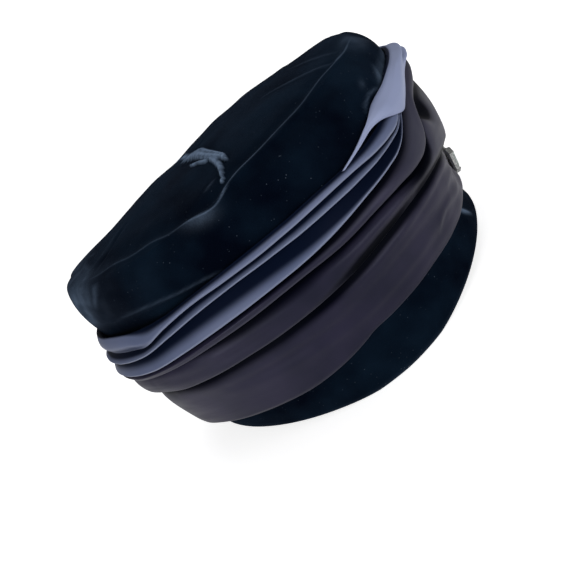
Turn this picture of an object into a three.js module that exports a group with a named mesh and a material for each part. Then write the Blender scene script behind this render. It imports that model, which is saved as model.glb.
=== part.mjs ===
// Turban hat: a puffed velvet crown, two tones of satin wound in soft folds round it, a velvet cuff
// at the head opening, a satin tab over the front of the folds and a step-cut brooch below them.
// Millimetres, +Z up. The front of the hat faces -Y and the wearer's right side faces -X.
// The origin is on the ground, under the middle of the hat.
import * as THREE from "three";

const GAP = 0.3; // between one piece and the next
const SATIN_SEAT = 0.6; // from the velvet under the folds to the back of the satin
const PLAN_POWER = 1.8; // 2 is an ellipse, less draws the front and the back to a blunt point
const COLUMNS = 54; // steps round the hat

const VELVET_WALL = 2.2;
const CUFF_WALL = 3; // velvet turned under over a stiff band
const SATIN_WALL = 1.2; // least thickness, at the foot of a fold
const FOLD_DEPTH = 4; // from the crest of a fold to its foot

const HEM_RISE = 13; // the hem arches off the ground at the front and the back
const HEM_FLAT = 0.25; // cosine of the angle at which the arch begins, at each side
const HEM_POWER = 1.25;
const JOINT_ABOVE_DRAPE_EDGE = 9; // the crown is sewn to the cuff behind the drape

const TIP_RISE = 13; // the dome of the tip above the rim of the crown
const TIP_POWER = 2.4;
const CORNER = { front: 3, back: 8, from: 112, power: 4 }; // the rim rises at the front and the back
const TIP_SHIFT = -12; // the highest point lies in front of the middle

// Velvet outside at each height, with the stretch that the satin hides: how far it reaches.
const VELVET_SECTIONS = [
  { z: 0, front: 107, back: 101, side: 90 },
  { z: 15, front: 109, back: 107, side: 90 },
  { z: 27, front: 107, back: 111, side: 89.5 },
  { z: 42, front: 108, back: 112, side: 91 },
  { z: 60, front: 112, back: 114, side: 95 },
  { z: 80, front: 115, back: 118, side: 99 },
  { z: 95, front: 116, back: 117, side: 100 },
  { z: 108, front: 117, back: 116, side: 101 },
  { z: 119, front: 116, back: 119, side: 103 },
  { z: 129, front: 113, back: 117, side: 101 },
  { z: 137, front: 105, back: 112, side: 95 },
];
const RIM = VELVET_SECTIONS[VELVET_SECTIONS.length - 1].z;

// Crests of the satin folds at each height.
const SATIN_SECTIONS = [
  { z: 18, front: 110, back: 114, side: 92.5 },
  { z: 32, front: 112, back: 119, side: 93.5 },
  { z: 52, front: 117, back: 122, side: 98 },
  { z: 65, front: 121, back: 124, side: 102.5 },
  { z: 81, front: 124, back: 128.5, side: 106 },
  { z: 95, front: 124, back: 127, side: 107 },
  { z: 108, front: 124, back: 122.5, side: 105.5 },
  { z: 121, front: 120, back: 122, side: 105.5 },
];

// Height of the lower edge of each fold at these angles from the front, the same on both sides.
const STATIONS = [0, 25, 50, 90, 135, 180];
const FOLD_EDGES = {
  top: [120, 117, 111, 108, 108, 109],
  roll: [117, 113, 105, 103, 101, 101],
  thin: [113, 108, 98, 100, 96, 96],
  slope: [110, 104, 92, 89, 87, 85],
  narrow: [105, 95, 79, 85, 84, 81],
  broad: [38, 55, 65, 72, 67, 66],
  panel: [26, 26, 27, 32, 26, 22],
};

// One fold seen in section, from its lower edge up to its tucked top: the share of its height and
// the share of the fold depth that it lies below the crest.
const FOLD_SECTION = [
  { share: 0.0, depth: 0.55 },
  { share: 0.07, depth: 0.12 },
  { share: 0.25, depth: 0 },
  { share: 0.55, depth: 0.25 },
  { share: 0.82, depth: 0.7 },
  { share: 0.97, depth: 1 },
];

// The tab: half its length round the front, in degrees, and its edges at three stations.
const TAB = { reach: 54, thick: 1.8, bulge: 1, steps: 24 };
const TAB_STATIONS = [0, 27, 54];
const TAB_TOP = [123.5, 120.5, 110];
const TAB_FOOT = [112, 107, 100];

const PINCH = { width: 9, depth: 5, from: 122 }; // the gathered corners at the front and the back
const TUCK = { x: -8, y: 6, radius: 17, height: 3, folds: 3 }; // the gathered fold on the tip

// The brooch: an oblong step-cut stone with cut corners in a shallow cup with corner claws.
const BROOCH = { height: 16, width: 11, corner: 2.6, z: 33.5, tilt: 9.5, clear: 0.4 };
const SETTING = { wall: 0.8, floor: 0.9, rim: 3.1, claw: 1.1, clawTip: 4.6, pocket: 1.2 };
// Steps of the stone from its back to its table: how far each lies inside the girdle.
const STONE_STEPS = [
  { z: 1.3, inset: 3.4 },
  { z: 2.3, inset: 1.7 },
  { z: 3.3, inset: 0 },
  { z: 3.8, inset: 0 },
  { z: 5.0, inset: 1.1 },
  { z: 5.9, inset: 2.4 },
];

const velvet = { color: 0x0b1626, roughness: 0.95, metalness: 0 };
const slateSatin = { color: 0x56627f, roughness: 0.4, metalness: 0 };
const plumSatin = { color: 0x2f2f42, roughness: 0.45, metalness: 0 };
const tabSatin = { color: 0x8d98b5, roughness: 0.4, metalness: 0 };
const paleMetal = { color: 0xc9cbcd, roughness: 0.25, metalness: 1 };
const crystal = { color: 0xdfe8e6, roughness: 0.05, metalness: 0 };

const hat = new THREE.Group();

function addPiece(name, geometry, finish) {
  const piece = new THREE.Mesh(geometry, new THREE.MeshStandardMaterial(finish));
  piece.name = name;
  hat.add(piece);
  return piece;
}

// A smooth curve through values at given positions, level at both ends.
function levelCurve(positions, values) {
  const curve = new THREE.CubicInterpolant(positions, values, 1);
  curve.settings = { endingStart: THREE.ZeroSlopeEnding, endingEnd: THREE.ZeroSlopeEnding };
  return (position) => curve.evaluate(position)[0];
}

// The reach of a table of sections at any height.
function reachCurve(sections) {
  const heights = sections.map((row) => row.z);
  const reaches = sections.flatMap((row) => [row.front, row.back, row.side]);
  const curve = new THREE.CubicInterpolant(heights, reaches, 3);
  const lowest = heights[0];
  const highest = heights[heights.length - 1];
  return (z) => {
    const [front, back, side] = curve.evaluate(THREE.MathUtils.clamp(z, lowest, highest));
    return { front, back, side };
  };
}

// Angle from the front, 0 to 180 degrees, whichever side of the hat it is on.
function fromFront(angle) {
  return THREE.MathUtils.radToDeg(Math.acos(Math.cos(angle)));
}

function signedPower(value, power) {
  return Math.sign(value) * Math.abs(value) ** power;
}

// A point of the plan, which reaches so far to the front, the back and the sides.
function planPoint(angle, reach, z) {
  const middle = (reach.back - reach.front) / 2;
  const half = (reach.back + reach.front) / 2;
  const x = -reach.side * signedPower(Math.sin(angle), 2 / PLAN_POWER);
  const y = middle - half * signedPower(Math.cos(angle), 2 / PLAN_POWER);
  return new THREE.Vector3(x, y, z);
}

function grow(reach, by) {
  return { front: reach.front + by, back: reach.back + by, side: reach.side + by };
}

const velvetReach = reachCurve(VELVET_SECTIONS);
const satinReach = reachCurve(SATIN_SECTIONS);
const edgeHeight = {};
for (const [name, heights] of Object.entries(FOLD_EDGES)) {
  const curve = levelCurve(STATIONS, heights);
  edgeHeight[name] = (angle) => curve(fromFront(angle));
}

// How far the rim rises towards its front and back corners.
function cornerRise(angle) {
  const lean = Math.cos(angle);
  return (lean > 0 ? CORNER.front : CORNER.back) * Math.abs(lean) ** CORNER.power;
}

// How far the gathered corners draw the velvet in.
function pinchAt(angle, z) {
  const degrees = fromFront(angle);
  const corner = Math.min(degrees, 180 - degrees) / PINCH.width;
  return PINCH.depth * Math.exp(-corner * corner) * THREE.MathUtils.smoothstep(z, PINCH.from, RIM);
}

function velvetPoint(angle, z, inset) {
  const rise = cornerRise(angle) * THREE.MathUtils.smoothstep(z, CORNER.from, RIM);
  return planPoint(angle, grow(velvetReach(z), -inset - pinchAt(angle, z)), z + rise);
}

// Faces between rows of points. Each row is a ring round the hat; closed joins the last row to
// the first, and otherwise the first and last rows have one point each.
function ringFaces(rows, closed) {
  const positions = [];
  const starts = [];
  for (const row of rows) {
    starts.push(positions.length / 3);
    row.forEach((point) => positions.push(point.x, point.y, point.z));
  }
  const faces = [];
  const bands = closed ? rows.length : rows.length - 1;
  for (let band = 0; band < bands; band += 1) {
    const lower = rows[band];
    const upper = rows[(band + 1) % rows.length];
    const lowerStart = starts[band];
    const upperStart = starts[(band + 1) % rows.length];
    const count = Math.max(lower.length, upper.length);
    for (let step = 0; step < count; step += 1) {
      const next = (step + 1) % count;
      const a = lowerStart + (lower.length === 1 ? 0 : step);
      const b = lowerStart + (lower.length === 1 ? 0 : next);
      const c = upperStart + (upper.length === 1 ? 0 : next);
      const d = upperStart + (upper.length === 1 ? 0 : step);
      if (a !== b) faces.push(a, d, b);
      if (c !== d) faces.push(b, d, c);
    }
  }
  const geometry = new THREE.BufferGeometry();
  geometry.setAttribute("position", new THREE.Float32BufferAttribute(positions, 3));
  geometry.setIndex(faces);
  geometry.computeVertexNormals();
  return geometry;
}

function ring(pointAt) {
  return Array.from({ length: COLUMNS }, (_, column) => pointAt((column / COLUMNS) * 2 * Math.PI));
}

// The height of the hem: flat at the sides, arched at the front and the back.
function hemHeight(angle) {
  const past = Math.max(0, Math.abs(Math.cos(angle)) - HEM_FLAT) / (1 - HEM_FLAT);
  return HEM_RISE * past ** HEM_POWER;
}

function jointHeight(angle) {
  return edgeHeight.panel(angle) + JOINT_ABOVE_DRAPE_EDGE;
}

// The cuff: a band from the hem to the joint behind the drape.
function makeCuff() {
  const levels = [0, 0.06, 0.35, 0.65, 1];
  const heightAt = (angle, level) => {
    return THREE.MathUtils.lerp(hemHeight(angle), jointHeight(angle), level);
  };
  const outside = levels.map((level) => {
    const rounding = level === 0 ? 0.8 : 0;
    return ring((angle) => velvetPoint(angle, heightAt(angle, level), rounding));
  });
  const inside = levels.toReversed().map((level) => {
    return ring((angle) => velvetPoint(angle, heightAt(angle, level), CUFF_WALL));
  });
  return ringFaces([...outside, ...inside], true);
}

// The gathered fold on the tip: short ridges side by side that fade outwards.
function tuckHeight(x, y) {
  const across = (x - TUCK.x) / TUCK.radius;
  const along = (y - TUCK.y) / TUCK.radius;
  const ridges = 0.5 + 0.5 * Math.cos(along * TUCK.folds * Math.PI);
  return TUCK.height * ridges * Math.exp(-2 * (across * across + along * along));
}

// A ring of the tip, at a share of the rim's size, on the outer or the inner face.
function tipRing(share, inset) {
  const rim = velvetReach(RIM);
  return ring((angle) => {
    const pinch = pinchAt(angle, RIM) * share;
    const edge = planPoint(angle, grow(rim, -inset - pinch), 0);
    const x = edge.x * share;
    const y = THREE.MathUtils.lerp(TIP_SHIFT, edge.y, share);
    const dome = TIP_RISE * (1 - share ** TIP_POWER) + tuckHeight(x, y);
    const corner = cornerRise(angle) * share ** CORNER.power;
    return new THREE.Vector3(x, y, RIM + dome + corner - inset);
  });
}

function tipCentre(inset) {
  return [new THREE.Vector3(0, TIP_SHIFT, RIM + TIP_RISE - inset)];
}

// The crown: a hollow puff whose lower wall is hidden by the drape.
function makeCrown() {
  const heights = [52, 66, 80, 94, 103, 109, 114, 119, 124, 129, 133, RIM];
  const shares = [0.93, 0.85, 0.74, 0.62, 0.5, 0.38, 0.26, 0.12];
  const bottom = (angle) => jointHeight(angle) + GAP;
  const foot = (inset) => ring((angle) => velvetPoint(angle, bottom(angle), inset));
  const wall = (inset) => heights.map((z) => ring((angle) => velvetPoint(angle, z, inset)));
  const tip = (inset) => shares.map((share) => tipRing(share, inset));
  const outside = [foot(0), ...wall(0), ...tip(0)];
  const innerWall = wall(VELVET_WALL).slice(0, -1);
  const inside = [foot(VELVET_WALL), ...innerWall, tipRing(1, VELVET_WALL), ...tip(VELVET_WALL)];
  const rows = [
    tipCentre(VELVET_WALL),
    ...inside.toReversed(),
    ...outside,
    tipCentre(0),
  ];
  return ringFaces(rows, false);
}

// A point of the satin, at a depth below the crests and never nearer the velvet than its wall.
function satinPoint(angle, z, depth) {
  const crest = satinReach(z);
  const least = grow(velvetReach(z), SATIN_SEAT + SATIN_WALL);
  const reach = {};
  for (const way of ["front", "back", "side"]) {
    reach[way] = Math.max(crest[way] - depth * FOLD_DEPTH, least[way]);
  }
  return planPoint(angle, reach, z);
}

// A ring of satin that holds the folds between the named edges, listed from the lowest up.
function makeDrape(edges, lift, backRows) {
  const outside = [];
  for (let fold = 0; fold < edges.length - 1; fold += 1) {
    const lower = edgeHeight[edges[fold]];
    const upper = edgeHeight[edges[fold + 1]];
    for (const { share, depth } of FOLD_SECTION) {
      const rise = fold === 0 ? lift * (1 - share) : 0;
      outside.push(ring((angle) => {
        const z = THREE.MathUtils.lerp(lower(angle), upper(angle), share) + rise;
        return satinPoint(angle, z, depth);
      }));
    }
  }
  const bottom = edgeHeight[edges[0]];
  const top = edgeHeight[edges[edges.length - 1]];
  const backAt = (level) => ring((angle) => {
    const z = THREE.MathUtils.lerp(top(angle), bottom(angle) + lift, level);
    return planPoint(angle, grow(velvetReach(z), SATIN_SEAT), z);
  });
  const inside = Array.from({ length: backRows + 1 }, (_, row) => backAt(row / backRows));
  return ringFaces([...outside, ...inside], true);
}

// The tab: a strip of satin round the front of the drape's top edge, with softly bulged sides.
function makeTab() {
  const topAt = levelCurve(TAB_STATIONS, TAB_TOP);
  const footAt = levelCurve(TAB_STATIONS, TAB_FOOT);
  const sectionAt = (share) => {
    const degrees = TAB.reach * share;
    const angle = THREE.MathUtils.degToRad(degrees);
    const top = topAt(Math.abs(degrees));
    const foot = footAt(Math.abs(degrees));
    const pointAt = (level, lift) => {
      const z = THREE.MathUtils.lerp(foot, top, level);
      return planPoint(angle, grow(satinReach(z), lift), z);
    };
    const levels = [0, 0.2, 0.5, 0.8, 1];
    const back = levels.map((level) => pointAt(level, GAP));
    const face = levels.toReversed().map((level) => {
      return pointAt(level, GAP + TAB.thick + TAB.bulge * Math.sin(Math.PI * level));
    });
    return [...back, ...face];
  };
  const middle = (section) => {
    const sum = section.reduce((total, point) => total.add(point), new THREE.Vector3());
    return [sum.divideScalar(section.length)];
  };
  const sections = Array.from({ length: TAB.steps + 1 }, (_, step) => {
    return sectionAt((2 * step) / TAB.steps - 1);
  });
  return ringFaces([middle(sections[0]), ...sections, middle(sections[TAB.steps])], false);
}

// An oblong with cut corners, that lies inset inside the stone's girdle.
function cutCornerRing(inset, z) {
  const x = BROOCH.width / 2 - inset;
  const y = BROOCH.height / 2 - inset;
  const cut = Math.max(BROOCH.corner - inset * (2 - Math.SQRT2), 0.2);
  const corners = [
    [-x + cut, y], [x - cut, y], [x, y - cut], [x, -y + cut],
    [x - cut, -y], [-x + cut, -y], [-x, -y + cut], [-x, y - cut],
  ];
  return corners.map(([cornerX, cornerY]) => new THREE.Vector3(cornerX, cornerY, z));
}

function makeStone() {
  const rows = STONE_STEPS.map(({ z, inset }) => cutCornerRing(inset, z));
  const first = [new THREE.Vector3(0, 0, STONE_STEPS[0].z)];
  const last = [new THREE.Vector3(0, 0, STONE_STEPS[STONE_STEPS.length - 1].z)];
  return ringFaces([first, ...rows, last], false);
}

// A ring of the cup that stands as high as a claw at the cut corners and lower between them.
function cupRing(inset, low, high) {
  const corners = cutCornerRing(inset, high);
  const points = [];
  for (let corner = 0; corner < corners.length; corner += 2) {
    const from = corners[corner];
    const to = corners[corner + 1];
    const along = to.clone().sub(from).normalize().multiplyScalar(SETTING.claw);
    points.push(from, from.clone().add(along).setZ(low), to.clone().sub(along).setZ(low), to);
  }
  return points;
}

function makeSetting() {
  const outer = -(GAP + SETTING.wall);
  const inner = -GAP;
  const rows = [
    [new THREE.Vector3(0, 0, 0)],
    cupRing(outer + SETTING.wall, 0, 0),
    cupRing(outer, SETTING.pocket, SETTING.pocket),
    cupRing(outer, SETTING.rim, SETTING.clawTip),
    cupRing(inner, SETTING.rim, SETTING.clawTip),
    cupRing(inner, SETTING.floor, SETTING.floor),
    [new THREE.Vector3(0, 0, SETTING.floor)],
  ];
  return ringFaces(rows, false);
}

// The brooch stands on the satin at the front, and leans out with it.
function placeBrooch() {
  const seat = new THREE.Group();
  seat.position.set(0, -satinReach(BROOCH.z).front - BROOCH.clear, BROOCH.z);
  seat.rotation.x = Math.PI / 2 + THREE.MathUtils.degToRad(BROOCH.tilt);
  seat.add(addPiece("brooch_setting", makeSetting(), paleMetal));
  seat.add(addPiece("brooch_stone", makeStone(), crystal));
  hat.add(seat);
}

addPiece("velvet_cuff", makeCuff(), velvet);
addPiece("velvet_crown", makeCrown(), velvet);
addPiece("satin_drape_lower", makeDrape(["panel", "broad", "narrow", "slope"], 0, 7), plumSatin);
addPiece("satin_drape_upper", makeDrape(["slope", "thin", "roll", "top"], GAP, 3), slateSatin);
addPiece("satin_tab", makeTab(), tabSatin);
placeBrooch();

// The origin lies under the middle of the whole hat.
const box = new THREE.Box3().setFromObject(hat);
const middleOfLength = (box.min.y + box.max.y) / 2;
hat.children.forEach((child) => child.position.setY(child.position.y - middleOfLength));

export default hat;
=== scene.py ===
import math

import bpy
import numpy as np
from mathutils import Matrix, Vector


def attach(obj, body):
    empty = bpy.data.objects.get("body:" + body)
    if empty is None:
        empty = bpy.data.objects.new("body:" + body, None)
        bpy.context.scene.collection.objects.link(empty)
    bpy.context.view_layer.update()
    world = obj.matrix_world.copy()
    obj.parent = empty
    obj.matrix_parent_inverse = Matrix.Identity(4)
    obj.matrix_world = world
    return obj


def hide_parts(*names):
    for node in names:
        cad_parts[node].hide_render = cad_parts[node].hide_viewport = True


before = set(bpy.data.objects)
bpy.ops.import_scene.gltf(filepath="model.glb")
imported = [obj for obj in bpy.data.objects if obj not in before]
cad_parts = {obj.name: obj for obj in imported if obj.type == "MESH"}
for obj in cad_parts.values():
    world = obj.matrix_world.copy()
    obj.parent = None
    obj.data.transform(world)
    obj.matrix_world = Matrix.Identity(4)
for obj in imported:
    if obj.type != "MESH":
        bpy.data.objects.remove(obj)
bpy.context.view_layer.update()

# ---------------------------------------------------------------------------------------------
# Velvet crown. The puffed top of the hat, navy silk velvet over stiff net: a side band that runs
# up to a soft seam ridge, and a domed tip drawn in by gathers at both ends and a bow-shaped tuck.
# All tables here and below are in millimetres and in degrees from the front of the hat.

MM = 0.001
MIDDLE = 1.7  # the sections are drawn about a point this far in front of the hat's middle
PLAN_POWER = 1.8  # 2 is an ellipse, and less makes it more pointed
COLUMNS = 420

# Height, then how far the velvet reaches to the front, the back and the side.
VELVET = np.array([
    (0, 107, 101, 90), (15, 109, 107, 90), (27, 107, 111, 89.5), (42, 108, 112, 91),
    (60, 112, 114, 95), (80, 115, 118, 99), (95, 116, 117, 100), (108, 117, 116, 101),
    (119, 116, 119, 103), (129, 113, 117, 101), (137, 105, 112, 95),
])
RIM = 137
VELVET_WALL = 2.2
TIP_RISE = 13
TIP_POWER = 2.4
TIP_SHIFT = -12
CORNER = {"front": 3, "back": 8, "from": 112, "power": 4}  # the rim rises towards both corners
PINCH = {"width": 9, "depth": 5, "from": 122}  # the gathers that draw the corners in
SET_BACK = 2.4  # of the velvet behind the drape
VELVET_DEGREE = 1.8  # about the length of one degree along the wall
WALL_RUN = 1.25  # about the run of velvet to each millimetre of height below the rim
TIP_RUN = 100  # about the run of velvet from the rim to the top
ROUNDING_PASSES = 110

around = np.arange(COLUMNS) / COLUMNS * 2 * np.pi
from_front = np.degrees(np.arccos(np.cos(around)))


def through(x, at, values):
    """A smooth curve through the values, level at both ends."""
    at, values = np.asarray(at, float), np.asarray(values, float)
    slope = np.gradient(values, at)
    slope[[0, -1]] = 0
    x = np.clip(x, at[0], at[-1])
    k = np.clip(np.searchsorted(at, x, side="right") - 1, 0, len(at) - 2)
    step = at[k + 1] - at[k]
    t = (x - at[k]) / step
    return (
        (2 * t**3 - 3 * t**2 + 1) * values[k]
        + (t**3 - 2 * t**2 + t) * step * slope[k]
        + (3 * t**2 - 2 * t**3) * values[k + 1]
        + (t**3 - t**2) * step * slope[k + 1]
    )


def ease(x, low, high):
    """0 at low and past it, 1 at high and past it, smooth between; low may be the larger."""
    t = np.clip((np.asarray(x, float) - low) / (high - low), 0, 1)
    return t * t * (3 - 2 * t)


def bell(x, middle, width):
    """1 at the middle, and smoothly less over the width on both sides of it."""
    return np.exp(-(((x - middle) / width) ** 2))


def reach(sections, z, grow=0.0):
    """How far a table of sections reaches to the front, the back and the side at a height."""
    return [through(z, sections[:, 0], sections[:, way]) + grow for way in (1, 2, 3)]


def plan(angle, front, back, side, z):
    """Points of the plan at an angle from the front, turning towards the wearer's right."""
    power = 2 / PLAN_POWER
    x = -side * np.sign(np.sin(angle)) * np.abs(np.sin(angle)) ** power
    lean = np.sign(np.cos(angle)) * np.abs(np.cos(angle)) ** power
    y = (back - front) / 2 - (front + back) / 2 * lean - MIDDLE
    return np.stack(np.broadcast_arrays(x, y, z), -1)


def near(u, v, line, width, fade=True):
    """How near points lie to a line: 1 on it, less over the width, fading out at its ends."""
    line = np.asarray(line, float)
    lengths = np.hypot(*np.diff(line, axis=0).T)
    whole = lengths.sum()
    nearest = np.full(np.shape(u), np.inf)
    share = np.zeros(np.shape(u))
    done = 0.0
    for (u0, v0), (u1, v1), length in zip(line[:-1], line[1:], lengths):
        du, dv = u1 - u0, v1 - v0
        t = np.clip(((u - u0) * du + (v - v0) * dv) / length**2, 0, 1)
        away = np.hypot(u - u0 - t * du, v - v0 - t * dv)
        share = np.where(away < nearest, (done + t * length) / whole, share)
        nearest = np.minimum(nearest, away)
        done += length
    strength = bell(nearest, 0, width)
    return strength * np.sin(np.pi * np.clip(share, 0.04, 0.96)) ** 0.5 if fade else strength


def strip(u, v, line, widths):
    """A tapering strip with crisp edges: 1 inside it, and how far across and along points lie."""
    line = np.asarray(line, float)
    lengths = np.hypot(*np.diff(line, axis=0).T)
    starts = np.concatenate([[0], np.cumsum(lengths)]) / lengths.sum()
    best = np.full(np.shape(u), np.inf)
    across, along = np.zeros(np.shape(u)), np.zeros(np.shape(u))
    for k, length in enumerate(lengths):
        (u0, v0), (u1, v1) = line[k], line[k + 1]
        t = np.clip(((u - u0) * (u1 - u0) + (v - v0) * (v1 - v0)) / length**2, 0, 1)
        share = starts[k] + (starts[k + 1] - starts[k]) * t
        width = np.interp(share, starts, widths)
        away = np.hypot(u - u0 - t * (u1 - u0), v - v0 - t * (v1 - v0)) / width
        side = np.sign((u1 - u0) * (v - v0) - (v1 - v0) * (u - u0))
        across = np.where(away < best, away * side, across)
        along = np.where(away < best, share, along)
        best = np.minimum(best, away)
    return ease(1 - best, 0.0, 0.25), across, along


def swell(points, size, seed):
    """Soft unevenness over a surface, about one swell to each size, mostly within -1 and 1."""
    dice = np.random.default_rng(seed)
    total = np.zeros(points.shape[:-1])
    for _ in range(9):
        way = dice.normal(size=3)
        way /= np.linalg.norm(way)
        pitch = size * dice.uniform(0.7, 1.7)
        total += np.sin(points @ way * 2 * np.pi / pitch + dice.uniform(0, 2 * np.pi))
    return total / 3


def outward(rows):
    """The outward direction at each point of a grid of rings."""
    round_it = np.roll(rows, -1, axis=1) - np.roll(rows, 1, axis=1)
    up = np.gradient(rows, axis=0)
    normal = np.cross(up, round_it)
    return normal / np.maximum(np.linalg.norm(normal, axis=-1, keepdims=True), 1e-9)


def ring_mesh(name, rows, masks=None, loop=False, poles=(None, None)):
    """A mesh of rings of points, with cloth lengths as its UV map and masks as its attributes."""
    rows = np.asarray(rows, float)
    count, columns = rows.shape[:2]
    points = rows.reshape(-1, 3)
    index = np.arange(count * columns).reshape(count, columns)
    lower = index if loop else index[:-1]
    upper = np.roll(index, -1, axis=0) if loop else index[1:]
    next_upper, next_lower = (np.roll(ring, -1, axis=-1) for ring in (upper, lower))
    faces = np.stack([lower, upper, next_upper, next_lower], -1).reshape(-1, 4).tolist()
    extra = []
    for pole, ring, flip in ((poles[0], index[0], False), (poles[1], index[-1], True)):
        if pole is not None:
            top = len(points) + len(extra)
            extra.append(pole)
            ends = zip(ring.tolist(), np.roll(ring, -1).tolist())
            faces += [[top, b, a] if flip else [top, a, b] for a, b in ends]
    if extra:
        points = np.concatenate([points, np.array(extra, float)])
    mesh = bpy.data.meshes.new(name)
    mesh.from_pydata((points * MM).tolist(), [], faces)
    spans = np.linalg.norm(np.diff(rows, axis=0), axis=-1).mean(axis=1)
    across = np.concatenate([[0], np.cumsum(spans)]) * MM
    along = np.linalg.norm(np.roll(rows, -1, axis=1) - rows, axis=-1).mean() * MM
    corner = np.zeros(len(mesh.loops), int)
    mesh.loops.foreach_get("vertex_index", corner)
    column = np.where(corner < count * columns, corner % columns, 0)
    row = np.where(corner < count * columns, corner // columns, 0)
    polygon = np.repeat(np.arange(len(faces)), [len(face) for face in faces])
    last = np.zeros(len(faces), bool)
    np.logical_or.at(last, polygon, column == columns - 1)
    column = np.where(last[polygon] & (column == 0), columns, column)
    uv = np.stack([column * along, across[row]], -1)
    mesh.uv_layers.new(name="cloth").data.foreach_set("uv", uv.astype(np.float32).ravel())
    for label, values in (masks or {}).items():
        values = np.asarray(values, float).ravel()
        values = np.concatenate([values, np.full(len(extra), values[-1])])
        layer = mesh.attributes.new(label, "FLOAT", "POINT")
        layer.data.foreach_set("value", values.astype(np.float32))
    mesh.shade_smooth()
    piece = bpy.data.objects.new(name, mesh)
    bpy.context.scene.collection.objects.link(piece)
    return piece


def corner_rise(angle):
    """How far the rim rises towards its front and back corners."""
    lean = np.cos(angle)
    return np.where(lean > 0, CORNER["front"], CORNER["back"]) * np.abs(lean) ** CORNER["power"]


def pinch(angle, z):
    """The gathers at the front and the back draw the velvet in."""
    degrees = np.degrees(np.arccos(np.cos(angle)))
    from_corner = np.minimum(degrees, 180 - degrees)
    return PINCH["depth"] * bell(from_corner, 0, PINCH["width"]) * ease(z, PINCH["from"], RIM)


def tucked_in(degrees, z):
    """How far the velvet is set back where the drape hides it, so the deep folds have room."""
    hidden = through(degrees, (0, 40, 60, 80, 180), (112, 110, 104.5, 107.5, 108.5))
    return SET_BACK * ease(z - hidden, 0, -4) * ease(z, 60, 74)


def crown_wall(angle, z, inset):
    """Points of the crown's wall at a height, set in from its outer face."""
    front, back, side = reach(VELVET, z, -inset - pinch(angle, z))
    return plan(angle, front, back, side, z + corner_rise(angle) * ease(z, CORNER["from"], RIM))


def crown_tip(angle, share, inset):
    """Points of the crown's tip, at a share of the way from its middle to the rim."""
    front, back, side = reach(VELVET, RIM, -inset - pinch(angle, RIM) * share)
    edge = plan(angle, front, back, side, 0)
    dome = RIM + TIP_RISE * (1 - share**TIP_POWER) + corner_rise(angle) * share ** CORNER["power"] - inset
    middle = TIP_SHIFT - MIDDLE
    y = middle + (edge[..., 1] - middle) * share
    return np.stack(np.broadcast_arrays(edge[..., 0] * share, y, dome), -1)


# The height of the joint of the crown and the cuff, which the drape hides.
joint = through(from_front, (0, 25, 50, 90, 135, 180), (35, 35, 36, 41, 35, 31))

wall_heights = np.concatenate([
    [52, 66, 80, 90], np.linspace(96, 133, 33), np.linspace(133, RIM, 11)[1:]])
tip_shares = 1 - np.concatenate([
    np.linspace(0, 0.064, 17)[1:], np.linspace(0.064, 0.6, 48)[1:], np.linspace(0.6, 0.985, 14)[1:]])
wall_rows = [crown_wall(around, joint + 0.3, 0)]
wall_rows += [crown_wall(around, np.full(COLUMNS, z), 0) for z in wall_heights]
tip_rows = [crown_tip(around, share, 0) for share in tip_shares]
crown = np.array(wall_rows + tip_rows)
crown_out = outward(crown)

# Where each point lies: on the wall by degrees and height, on the tip by place in plan. The lowest
# row follows the joint, and counts as lying at a height of 45.
row_heights = np.concatenate([[45], wall_heights])
degrees = np.broadcast_to(from_front, crown.shape[:2])
height = np.concatenate([row_heights, np.full(len(tip_shares), RIM)])[:, None] + 0 * degrees
run_past_rim = np.concatenate([(row_heights - RIM) * WALL_RUN, (1 - tip_shares) * TIP_RUN])
past_rim = run_past_rim[:, None] + 0 * degrees
on_wall = past_rim <= 0
on_tip = past_rim > 0
arc = degrees * VELVET_DEGREE
x_plan, y_plan = crown[..., 0], crown[..., 1] + MIDDLE
x_right = -np.abs(x_plan)

rise = np.zeros(degrees.shape)  # how far the velvet stands out
raised = np.zeros(degrees.shape)  # how far it moves up
crush_sheen = np.zeros(degrees.shape)  # painted sheen where the pile is crushed flat

# The seam ridge, which wanders a little on to the tip, with painted sheen along it and on the crushed pile
# under its sag.
ridge_at = past_rim - through(degrees, (
    0, 22, 28, 34, 40, 49, 56, 62, 70, 80, 87, 92, 98.5, 104, 108, 113, 118, 127, 134, 141, 180), (
    -3, -3, -1.5, -1, 0.5, 3.5, 3, 2, 1.2, 1.5, 2, 0.8, -1.5, -0.5, 1, 2, 4, 3.5, 4.6, 4, 3))
crisp = ease(degrees, 22, 34) * ease(degrees, 150, 140)
rise += crisp * (0.9 * bell(ridge_at, 0, 1.7) - 0.7 * bell(ridge_at, 5, 3.5))
raised -= 1.6 * bell(past_rim, 0, 9) * bell(degrees, 99, 5)
bright = through(degrees, (30, 40, 60, 75, 88, 96, 103, 110, 125, 140), (
    0.3, 0.32, 0.25, 0.36, 0.5, 0.42, 0.3, 0.2, 0.2, 0.12))
crush_sheen += crisp * bright * bell(ridge_at, 0, 0.5)
under_ridge = np.where(ridge_at < 0, bell(ridge_at, 0, 5.0), bell(ridge_at, 0, 0.9))
crush_sheen += 0.34 * under_ridge * bell(degrees, 103.5, 4.2)

# The soft fold low on the wall towards the back, with a hollow under it and painted sheen along its crest.
fold_z = through(degrees, (106, 110, 115, 120, 126, 133, 144, 156), (
    108.5, 111, 113.6, 115.8, 118, 119.4, 118, 115))
reach_back = ease(degrees, 107, 114) * ease(degrees, 158, 146)
above = height - fold_z
rise += on_wall * reach_back * (0.9 * bell(above, 0, 1.6) - 2.2 * ease(-above, 0, 4))
crush_sheen += on_wall * ease(degrees, 107, 114) * ease(degrees, 148, 130) * 0.15 * bell(above, 0, 0.8)
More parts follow.
